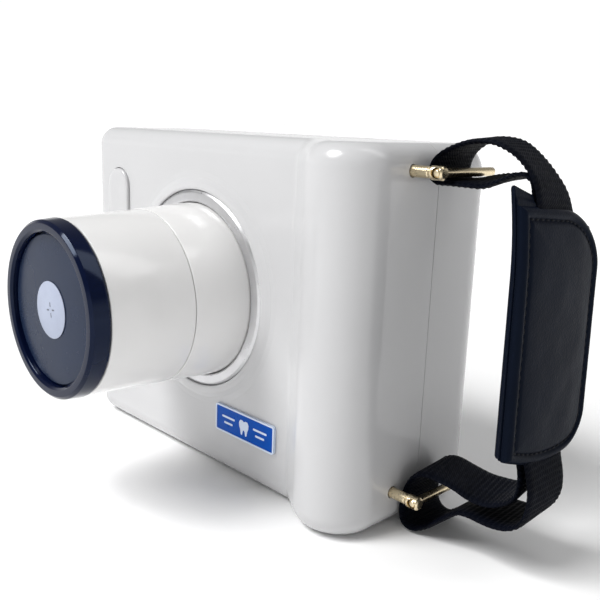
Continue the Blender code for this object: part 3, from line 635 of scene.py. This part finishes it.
def beam_cone():
    collar = [(43.0, 33.9), (43.0, 35.9), (44.2, 36.0), (46.4, 35.5), (48.4, 34.7), (51.5, 34.46),
              (51.5, 33.9)]
    piece("cone_collar", turned(fillet(collar, 1.6, steps=6), CONE_AXIS, "-Y"), "white_gloss")
    sleeve = [(33.9, 61.4), (36.12, 61.4), (37.4, 36.9), (37.4, 29.9), (35.2, 29.9), (35.2, 36.9)]
    piece("cone_sleeve_skin", turned(fillet(sleeve, 0.35), CONE_AXIS, "-Y"), "cone_white_painted_light",
          replaces=["cone_sleeve"])
    ring = [(37.8, 36.2), (38.6, 36.5), (41.6, 35.9), (42.75, 35.2), (42.75, 32.1), (37.8, 32.1)]
    piece("trim_ring_skin", turned(fillet(ring, 0.35), CONE_AXIS, "-Y"), "silver", replaces=["trim_ring"])
    tube = [(32.2, 97.0), (34.4, 97.0), (35.98, 61.75), (33.5, 61.75), (33.5, 55.7), (31.5, 55.7),
            (31.5, 61.8)]
    piece("cone_tube_skin", turned(fillet(tube, 0.3), CONE_AXIS, "-Y"), "cone_white_painted_light",
          replaces=["cone_tube"])
    cap = [(29.5, 104.2), (30.5, 105.0), (33.0, 105.0), (34.15, 103.9), (34.7, 98.2), (34.3, 97.3),
           (31.6, 97.3), (31.6, 91.0), (27.0, 91.0), (27.0, 101.0), (29.3, 101.0)]
    piece("cap_ring_skin", turned(fillet(cap, 0.5, steps=5), CONE_AXIS, "-Y"), "navy_gloss",
          replaces=["cap_ring"])
    window = [(0, 102.6), (28.5, 102.6), (29.1, 102.2), (29.1, 101.3), (0, 101.3)]
    window = fillet(window, 0.15, closed=False)
    piece("cap_window_skin", turned(window, CONE_AXIS, "-Y", closed=False), "slate", replaces=["cap_window"])
    mark = [(0, 103.0), (10.9, 103.0), (11.0, 102.95), (11.0, 102.75), (0, 102.75)]
    piece("centre_mark_film", turned(mark, CONE_AXIS, "-Y", closed=False), "pale_mark",
          replaces=["centre_mark"])
    centre_cross()


def centre_cross():
    """Four short dashes round the middle of the end cap's mark."""
    bm = bmesh.new()
    dash = [(1.15, -0.28), (2.9, -0.28), (2.9, 0.28), (1.15, 0.28)]
    for step in range(4):
        turn = AXES["-Y"] @ Matrix.Rotation(math.radians(90 * step + 8), 3, "Z")
        add_skin(bm, [[Vector(CONE_AXIS) + turn @ Vector((x, y, height)) * MM for x, y in dash]
                      for height in (102.9, 103.05)])
    piece("centre_cross", bm, "grey_ink", smooth=False)


# ---------------------------------------------------------------- label, button and rear panel

def label():
    """A blue plate with a pale rim; a plain tooth and bars stand where such a label has its words."""
    width, height = LABEL_SIZE
    piece("label_skin", rounded_plate(width, height, 1.2, LABEL_TOP, 0.25, LABEL_PLACE, "-Y"), "blue_label",
          replaces=["label_plate"])
    printed = (LABEL_TOP, LABEL_TOP + 0.1)
    outer = rounded_rectangle(width + 0.2, height + 0.2, 1.25)
    inner = rounded_rectangle(width - 1.2, height - 1.2, 0.6)
    rim = [(outer, 0.1), (outer, LABEL_TOP + 0.2), (inner, LABEL_TOP + 0.2), (inner, LABEL_TOP)]
    piece("label_border", skin(lifted(rim, LABEL_PLACE, "-Y"), loop=True), "white_ink", smooth=False)
    half = [(0.9, 2.7), (2.1, 2.6), (2.75, 1.5), (2.6, 0.1), (2.0, -1.2), (1.6, -3.1), (0.95, -3.2),
            (0.55, -1.5)]
    tooth = [(0, 2.1), *half, (0, -1.0), *[(-x, y) for x, y in reversed(half)]]
    tooth = [tuple(point * 1.12) for point in fillet(tooth, 0.6)]
    piece("label_tooth", plate([(tooth, level) for level in printed], LABEL_PLACE, "-Y"), "white_ink",
          smooth=False)
    bm = bmesh.new()
    for side in (-1, 1):
        for line, length in enumerate((8.4, 5.6)):
            bar = [(x + side * 10.2, y + 1.3 - 2.6 * line) for x, y in rounded_rectangle(length, 0.9, 0.4)]
            add_skin(bm, lifted([(bar, level) for level in printed], LABEL_PLACE, "-Y"))
    piece("label_bars", bm, "white_ink", smooth=False)


def exposure_button():
    """A capsule with a flange behind the shell, a rounded rim and a slightly dished top."""
    rings = []
    width, length = BUTTON_SIZE[0] / MM, BUTTON_SIZE[1] / MM
    front, top = -FRONT / MM, (BUTTON_PROUD - FRONT) / MM
    for inset, height in ((-1.5, front - 4.3), (-1.5, front - 3.0), (0, front - 3.0), (0, top - 0.9),
                          (0.12, top - 0.55), (0.4, top - 0.25), (0.8, top - 0.08), (1.6, top)):
        rings.append((capsule(width - 2 * inset, length - 2 * inset), height))
    dish = capsule(width - 3.2, length - 3.2)
    for share, drop in ((0.72, 0.0), (0.45, 0.12), (0.2, 0.2)):
        shape = [(x * share, y * (share + (1 - share) * 0.45)) for x, y in dish]
        rings.append((shape, top - drop))
    piece("exposure_button_skin", plate(rings, (BUTTON_X, 0, BUTTON_Z), "-Y"), "white_gloss",
          "exposure_button", ["exposure_button"])


def symbol(shapes, place, height):
    """Flat ink shapes, in millimetres, printed on a surface that faces the rear."""
    bm = bmesh.new()
    for outline in shapes:
        add_skin(bm, lifted([(outline, height - 0.05), (outline, height + 0.03)], place, "Y"))
    return bm


def ring_part(radius, width, start, end):
    """Part of a flat ring, from one angle to another."""
    outer = arc((0, 0), radius + width / 2, start, end, 20)
    inner = arc((0, 0), radius - width / 2, end, start, 20)
    return outer + inner


def display():
    window = [(side - 2 * KEY_CLEARANCE) / MM for side in WINDOW_SIZE]
    bottom, glass = 39.35, 40.85
    lens = rounded_plate(*window, 4.6, glass - bottom, 0.35, (PANEL_X, bottom * MM, WINDOW_Z), "Y")
    piece("display_window_skin", lens, "dark_glass", replaces=["display_window"])
    place = (PANEL_X, 0, WINDOW_Z)
    film = rounded_rectangle(62.0, 33.0, 1.0)
    piece("display_area", plate([(film, glass - 0.05), (film, glass + 0.02)], place, "Y"), "display_film",
          smooth=False)
    shapes = [ring_part(3.2, 0.5, 0, 350)]
    shapes += [[(x + 14.0, y) for x, y in rounded_rectangle(9.0, 4.4, 0.8)]]
    shapes += [[(x - 14.0 + 3.2 * index, y) for x, y in rounded_rectangle(1.6, 2.0 + 1.6 * index, 0.3)]
               for index in range(4)]
    shapes += [[(x, y - 10.5) for x, y in rounded_rectangle(48.0, 0.5, 0.2)]]
    piece("display_marks", symbol(shapes, place, glass + 0.02), "grey_ink", smooth=False)


def keypad():
    """The grey bezel and its keys, each with a plain symbol."""
    width, height = KEYPAD_SIZE[0] / MM, KEYPAD_SIZE[1] / MM
    form = rounded_plate(width, height, 8.0, 1.3, 0.5, (PANEL_X, REAR, KEYPAD_Z), "Y")
    bezel = piece("keypad_bezel_skin", form, "grey_bezel", replaces=["keypad_bezel"])
    cut(bezel, *[rod((radius + KEY_CLEARANCE) / MM, 30, 50, (x, 0, z), "Y")
                 for x, z, radius in KEYS.values()])
    soften(bezel, 0.15 * MM)
    arrow = [(0, 1.7), (1.7, -0.9), (-1.7, -0.9)]
    marks = {
        "ok_key": [ring_part(2.4, 0.6, 0, 355)],
        "up_key": [arrow],
        "down_key": [[(x, -y) for x, y in arrow]],
        "left_key": [[(-y, x) for x, y in arrow]],
        "right_key": [[(y, x) for x, y in arrow]],
        "power_key": [ring_part(2.1, 0.5, 125, 415),
                      [(x, y + 1.7) for x, y in rounded_rectangle(0.5, 2.6, 0.2)]],
        "mode_key": [[(x + shift, y) for x, y in arc((0, 0), 0.6, 0, 345, 15)] for shift in (-1.9, 0, 1.9)],
    }
    for name, (x, z, radius) in KEYS.items():
        size, top = radius / MM, KEY_TOP / MM
        profile = [(0, top - 0.25), (size * 0.5, top - 0.12), (size - 0.8, top), (size - 0.2, top - 0.35),
                   (size, top - 0.9), (size, 37.3), (size + 1, 37.3), (size + 1, 36.0), (0, 36.0)]
        profile = fillet(profile, 0.25, closed=False)
        piece(f"{name}_cap", turned(profile, (x, 0, z), "Y", 64, closed=False), "white_key", name, [name])
        piece(f"{name}_mark", symbol(marks[name], (x, 0, z), top - 0.1), "grey_ink", name, smooth=False)


# ---------------------------------------------------------------- hand strap

def fittings():
    """Gold posts with an eye, and the pins held in them that the webbing goes round."""
    stem, eye, groove = POST_RADIUS / MM, 2.5, 1.9
    post_form = fillet([(0, 88), (stem, 88), (stem, 99.4), (groove, 99.7), (groove, 100.1), (eye, 100.8),
                        (eye, 105.2), (1.8, 106.0), (0, 106.0)], 0.35, closed=False)
    half = PIN_LENGTH / 2
    pin_form = fillet([(0, -half), (0.9, -half), (PIN_RADIUS, 0.7 - half), (PIN_RADIUS, half - 0.9),
                       (0.9, half), (0, half)], 0.35, closed=False)
    for level, z in PIN_LEVELS.items():
        post = piece(f"{level}_post_skin", turned(post_form, (0, -POST_Y, z), "X", 48, closed=False), "gold",
                     replaces=[f"{level}_strap_post"])
        cut(post, rod(PIN_RADIUS + GAP / MM, -20, -10, (PIN_X, 0, z), "Y", 32))
        soften(post, 0.2 * MM)
        piece(f"{level}_pin_skin", turned(pin_form, (PIN_X, 0, z), "Y", 32, closed=False), "gold",
              replaces=[f"{level}_strap_pin"])


# Where the webbing's two edges run, round the closed loop, in millimetres: x and z of the edge nearer the
# cone, then x and z of the edge nearer the keypad. It starts on the outer layer inside the pad and goes up.
ROUTE = [
    (142.4, 52, 142.4, 52), (142.0, 80, 142.0, 80), (141.5, 108, 141.5, 107), (140.7, 120, 140.5, 118.5),
    (139.8, 127, 138.9, 125.5), (138.0, 134.6, 136.2, 132.3), (134.8, 139.9, 131.8, 137.8),
    (129.4, 144.7, 126.5, 143.0), (122, 147.8, 120.4, 147.4), (115.3, 148.2, 114.4, 149.0),
    (109, 147.0, 106.7, 148.7), (103, 144.8, 100.9, 145.4), (99, 142.2, 98.0, 141.8),
    (97.1, 139, 97.0, 138.6), (96.9, 135.8, 97.0, 135.8), (99.3, 133.5, 99.3, 133.8),
    (104, 133.4, 103.8, 134.2), (111, 133.2, 108.6, 135.6), (118.6, 133.3, 114, 136.8),
    (124.3, 135.7, 120.5, 137.1), (129, 138, 126.5, 137), (132.6, 138.6, 131.0, 136.0),
    (135.9, 137, 134.6, 132.4), (137.2, 133, 136.9, 126), (137.8, 127.3, 138.2, 119),
    (138.7, 120, 139.2, 111), (139.5, 107, 139.5, 105), (139.9, 80, 139.9, 80), (140.4, 52, 140.4, 52),
    (140.9, 46, 140.7, 46), (142.3, 40, 141.1, 40), (142.6, 35, 140.4, 35.5), (141.6, 30.6, 138.2, 31),
    (138.6, 27.1, 134.8, 27.6), (133.4, 24.2, 129.6, 25), (128.6, 23.2, 123.6, 24),
    (123, 23.4, 117.8, 23.6), (118, 24.6, 110.6, 24.4), (112, 25.2, 104.6, 25.3),
    (105.5, 25.2, 100.6, 24.9), (100.4, 23.4, 97.1, 22.6), (97.3, 20, 95.3, 18.6), (95.4, 15.4, 94.5, 14),
    (94.4, 9.6, 94.3, 9), (94.6, 4.8, 94.9, 4.8), (96.9, 1.9, 97.3, 2.0), (101, 1.5, 101.5, 1.6),
    (105.8, 4.3, 106.2, 4.6), (112.8, 10.3, 112.4, 10.3), (119, 15.4, 118, 14.6),
    (124.2, 16.6, 123.4, 16.8), (129.5, 16.5, 129, 17.2), (135, 16.7, 134.4, 17.8),
    (140.4, 18.2, 139.8, 19.2), (144.6, 22, 143.8, 22.4), (146.5, 28, 146.2, 27.5),
    (146.6, 34.5, 146.2, 33.5), (145.2, 41, 144.6, 40.5), (143.4, 46.5, 143.2, 46.5),
]
WEBBING_WIDTH = 25.0
WEBBING_THICKNESS = 1.6
RIB_PITCH = 2.1
RIB_HEIGHT = 0.16
RIB_STEPS = 5
ROUTE_STEPS = 12
WEBBING_COLUMNS = 14
SELVEDGE = 0.7


def smooth_loop(points, steps):
    """A closed Catmull-Rom curve through points."""
    result = []
    count = len(points)
    for index in range(count):
        before, first, second, after = (Vector(points[(index + shift) % count]) for shift in (-1, 0, 1, 2))
        for step in range(steps):
            t = step / steps
            result.append(0.5 * (2 * first + (second - before) * t
                                 + (2 * before - 5 * first + 4 * second - after) * t ** 2
                                 + (3 * first - before - 3 * second + after) * t ** 3))
    return result


def even_edges(stations, count):
    """Front and rear edge points of the webbing at even steps along its middle."""
    middles = [(front + rear) / 2 for front, rear in stations]
    lengths = [0.0]
    for first, second in zip(middles, middles[1:] + middles[:1]):
        lengths.append(lengths[-1] + (second - first).length)
    rows, place = [], 0
    for index in range(count):
        at = lengths[-1] * index / count
        while lengths[place + 1] < at:
            place += 1
        share = (at - lengths[place]) / (lengths[place + 1] - lengths[place])
        following = stations[(place + 1) % len(stations)]
        rows.append(tuple(first.lerp(second, share) for first, second in zip(stations[place], following)))
    return rows


def rib_section(front, rear, normal, rib):
    """A ring round the webbing at one station: one face, then back along the other, thinner at the edges."""
    ring = []
    for side in (1, -1):
        for column in range(WEBBING_COLUMNS + 1):
            across = column / WEBBING_COLUMNS if side == 1 else 1 - column / WEBBING_COLUMNS
            edge = min(across, 1 - across) * WEBBING_WIDTH
            fullness = math.sqrt(min(1.0, (edge + 0.05) / 0.8)) * (0.86 if edge < SELVEDGE else 1.0)
            height = (WEBBING_THICKNESS / 2 + rib) * fullness
            ring.append((front.lerp(rear, across) + normal * height * side) * MM)
    return ring


def add_webbing_uv(bm, rows):
    """u runs along the loop and v across it, in millimetres."""
    uv = bm.loops.layers.uv.new("UVMap")
    places = {}
    for index, row in enumerate(rows):
        for place, vert in enumerate(row):
            places[vert] = (index, place if place <= WEBBING_COLUMNS else 2 * WEBBING_COLUMNS + 1 - place)
    for face in bm.faces:
        indexes = [places[loop.vert][0] for loop in face.loops]
        wraps = max(indexes) - min(indexes) > len(rows) / 2
        for loop in face.loops:
            index, column = places[loop.vert]
            if wraps and index < len(rows) / 2:
                index += len(rows)
            loop[uv].uv = (index * RIB_PITCH / RIB_STEPS, column * WEBBING_WIDTH / WEBBING_COLUMNS)


def webbing():
    """The closed loop round both pins, with its cross ribs in the mesh."""
    half = WEBBING_WIDTH / 2
    fronts = smooth_loop([(xf, -half, zf) for xf, zf, xr, zr in ROUTE], ROUTE_STEPS)
    rears = smooth_loop([(xr, half, zr) for xf, zf, xr, zr in ROUTE], ROUTE_STEPS)
    middle = smooth_loop([((xf + xr) / 2, (zf + zr) / 2) for xf, zf, xr, zr in ROUTE], ROUTE_STEPS)
    length = sum((first - second).length for first, second in zip(middle, middle[1:] + middle[:1]))
    rows = even_edges(list(zip(fronts, rears)), round(length / RIB_PITCH) * RIB_STEPS)
    rings = []
    for index, (front, rear) in enumerate(rows):
        before = sum(rows[index - 1], Vector()) / 2
        after = sum(rows[(index + 1) % len(rows)], Vector()) / 2
        normal = (after - before).cross(rear - front).normalized()
        rib = RIB_HEIGHT * math.cos(2 * math.pi * index / RIB_STEPS)
        rings.append(rib_section(front, rear, normal, rib))
    bm = bmesh.new()
    add_webbing_uv(bm, add_skin(bm, rings, caps=False, loop=True))
    strap = piece("webbing_loop", bm, "black_webbing", replaces=["strap_webbing"], sharp=70.0)


PAD_SIDES = (-23.5, 25.0)
PAD_MIDDLE_Z = 83.0
PAD_EDGE = 2.0
PAD_SLOT = (2.05, 13.1)     # half the depth and width of the slot that the webbing runs through
PAD_ROWS, PAD_COLUMNS = 120, 66
PAD_SIDE_STEPS = 8
OUTER_FACE = 144.3
INNER_FACE = 138.2
STITCH_INSET = 3.8
STITCH_RADIUS = 0.36
STITCH_PITCH = 3.0


def corner_drop(y, radius, height):
    """How far a corner at the pad's rear side has rounded away from the straight edge."""
    into = max(0.0, (y - (PAD_SIDES[1] - radius)) / radius)
    return height * (1 - math.sqrt(max(0.0, 1 - into * into)))


def pad_ends(kind, y):
    """The lowest and highest z of one face of the pad at y; the flap's corner reaches highest."""
    low = 41.5 + 0.0078 * (y - 4) ** 2 + corner_drop(y, 12.0, 10.8)
    high = 130.0 - 0.085 * (y - PAD_SIDES[0]) - corner_drop(y, 22.0, 19.8)
    if kind == "inner":
        low += 0.5
        high = max(high - 0.8, 136.0 - 0.32 * (y - PAD_SIDES[0]))
    return low, high


def pad_bend(z):
    """The pad's top leans towards the body."""
    return -1.6 * (max(0.0, z - 106.0) / 24.0) ** 2


def pad_middle(z):
    return 140.95 + 0.017 * (PAD_MIDDLE_Z - z) + pad_bend(z)


def bump_line(distance, place, width, height):
    share = (distance - place) / width
    return height * math.exp(-share * share)


def spread(steps, fine):
    """Values from 0 to 1 that lie closer together near both ends."""
    return [index / steps - fine * math.sin(2 * math.pi * index / steps) / (2 * math.pi)
            for index in range(steps + 1)]


def pad_outline(kind, rows, columns):
    """One face of the pad as rows of (y, z), its border, and a tree of points along the border."""
    across = [PAD_SIDES[0] + (PAD_SIDES[1] - PAD_SIDES[0]) * share for share in spread(columns, 0.8)]
    flat = []
    for up in spread(rows, 0.8):
        ends = [pad_ends(kind, y) for y in across]
        flat.append([(y, low + (high - low) * up) for y, (low, high) in zip(across, ends)])
    border = [Vector(point) for point in border_of(flat)]
    tree = kdtree.KDTree(len(border) * 8)
    for index, (first, second) in enumerate(zip(border, border[1:] + border[:1])):
        for step in range(8):
            tree.insert((*first.lerp(second, step / 8), 0), index * 8 + step)
    tree.balance()
    return flat, border, tree


def border_of(grid):
    """The outer points of a grid of rows, once round."""
    return grid[0] + [line[-1] for line in grid[1:]] + grid[-1][-2::-1] + [line[0] for line in grid[-2:0:-1]]


def pad_height(kind, y, z, far):
    """x of one face, far from the border: rounded edge, sewn ditch, crown and soft ripple."""
    drop = PAD_EDGE - math.sqrt(max(0.0, PAD_EDGE ** 2 - max(0.0, PAD_EDGE - far) ** 2))
    ditch = bump_line(far, STITCH_INSET, 0.7, 0.7)
    if kind == "outer":
        outward = 1
        base = OUTER_FACE + 0.0226 * (PAD_MIDDLE_Z - z) + 0.028 * y
        crown = 1.0 * (1 - math.exp(-max(0.0, far - STITCH_INSET - 0.8) / 6.0))
        shape = bump_line(far, 2.0, 1.1, 0.25) - ditch
    else:
        outward = -1
        base = INNER_FACE + 0.012 * (PAD_MIDDLE_Z - z)
        crown = 0.3 * (1 - math.exp(-max(0.0, far - STITCH_INSET - 1.0) / 8.0))
        shape = bump_line(far, 2.0, 1.1, 0.15) - ditch
    ripple = 0.14 * noise.noise(Vector((y, z, 40 * outward)) / 9.0)
    ripple += 0.04 * noise.noise(Vector((y, z, 70 * outward)) / 3.5)
    return base + pad_bend(z) + outward * (crown - drop + shape + ripple * min(1.0, far / 4.0))


def pad_stitches(outlines):
    """Short threads that lie in the sewn ditch of each face."""
    bm = bmesh.new()
    for kind, (_, border, tree) in outlines.items():
        outward = 1 if kind == "outer" else -1
        travelled, due = 0.0, 0.0
        for first, second in zip(border, border[1:] + border[:1]):
            length = (second - first).length
            while due < travelled + length:
                along = (second - first).normalized()
                y, z = first + along * (due - travelled) + Vector((-along.y, along.x)) * STITCH_INSET
                due += STITCH_PITCH
                if tree.find((y, z, 0))[2] < STITCH_INSET - 0.1:
                    continue
                x = pad_height(kind, y, z, STITCH_INSET) + 0.12 * outward
                place = Vector((x, y, z)) * MM
                turn = Vector((0, along.x, along.y)).to_track_quat("Z", "X").to_matrix().to_4x4()
                size = Matrix.Diagonal((*[STITCH_RADIUS * MM] * 2, 0.36 * STITCH_PITCH * MM, 1))
                bmesh.ops.create_icosphere(bm, subdivisions=2, radius=1.0,
                                           matrix=Matrix.Translation(place) @ turn @ size)
            travelled += length
    piece("hand_pad_stitching", bm, "thread")


def add_side(bm, outer, inner):
    """Join the borders of the two faces by a side that swells a little and is pinched at its seam."""
    layers = [outer]
    for step in range(1, PAD_SIDE_STEPS):
        share = step / PAD_SIDE_STEPS
        swell = 0.45 * math.sin(math.pi * share) - 0.75 * math.exp(-((share - 0.5) / 0.13) ** 2)
        layer = []
        for index, (first, second) in enumerate(zip(outer, inner)):
            along = outer[(index + 1) % len(outer)].co - outer[index - 1].co
            away = Vector((0, along.z, -along.y)).normalized()
            layer.append(bm.verts.new(first.co.lerp(second.co, share) + away * swell * MM))
        layers.append(layer)
    layers.append(inner)
    for upper, lower in zip(layers, layers[1:]):
        for index in range(len(upper)):
            after = (index + 1) % len(upper)
            bm.faces.new((upper[index], upper[after], lower[after], lower[index]))


def pad():
    """The padded sleeve, with a slot through it for both layers of the webbing."""
    outlines = {kind: pad_outline(kind, PAD_ROWS, PAD_COLUMNS) for kind in ("outer", "inner")}
    bm = bmesh.new()
    borders = []
    for kind, (flat, _, tree) in outlines.items():
        grid = [[bm.verts.new(Vector((pad_height(kind, y, z, tree.find((y, z, 0))[2]), y, z)) * MM)
                 for y, z in line] for line in flat]
        for lower, upper in zip(grid, grid[1:]):
            for index in range(PAD_COLUMNS):
                bm.faces.new((lower[index], lower[index + 1], upper[index + 1], upper[index]))
        borders.append(border_of(grid))
    add_side(bm, *borders)
    cover = piece("hand_pad_cover", bm, "black_pad", replaces=["hand_pad"], sharp=75.0)
    deep, wide = PAD_SLOT
    rings = []
    for z in range(30, 145, 5):
        low, high = pad_middle(z) - deep, pad_middle(z) + deep
        corners = ((low, -wide), (high, -wide), (high, wide), (low, wide))
        rings.append([(x * MM, y * MM, z * MM) for x, y in corners])
    cut(cover, skin(rings))
    cover.data.shade_smooth()
    cover.data.set_sharp_from_angle(angle=math.radians(60.0))
    pad_stitches(outlines)


# ---------------------------------------------------------------- assembly

set_camera()
set_world()
set_lights()
set_floor()
front_skin()
rear_skin()
screws()
beam_cone()
label()
exposure_button()
display()
keypad()
fittings()
webbing()
pad()
for name, slot in CAD_SLOTS.items():
    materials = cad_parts[name].data.materials
    for index in range(len(materials)):
        materials[index] = MATERIALS[slot]
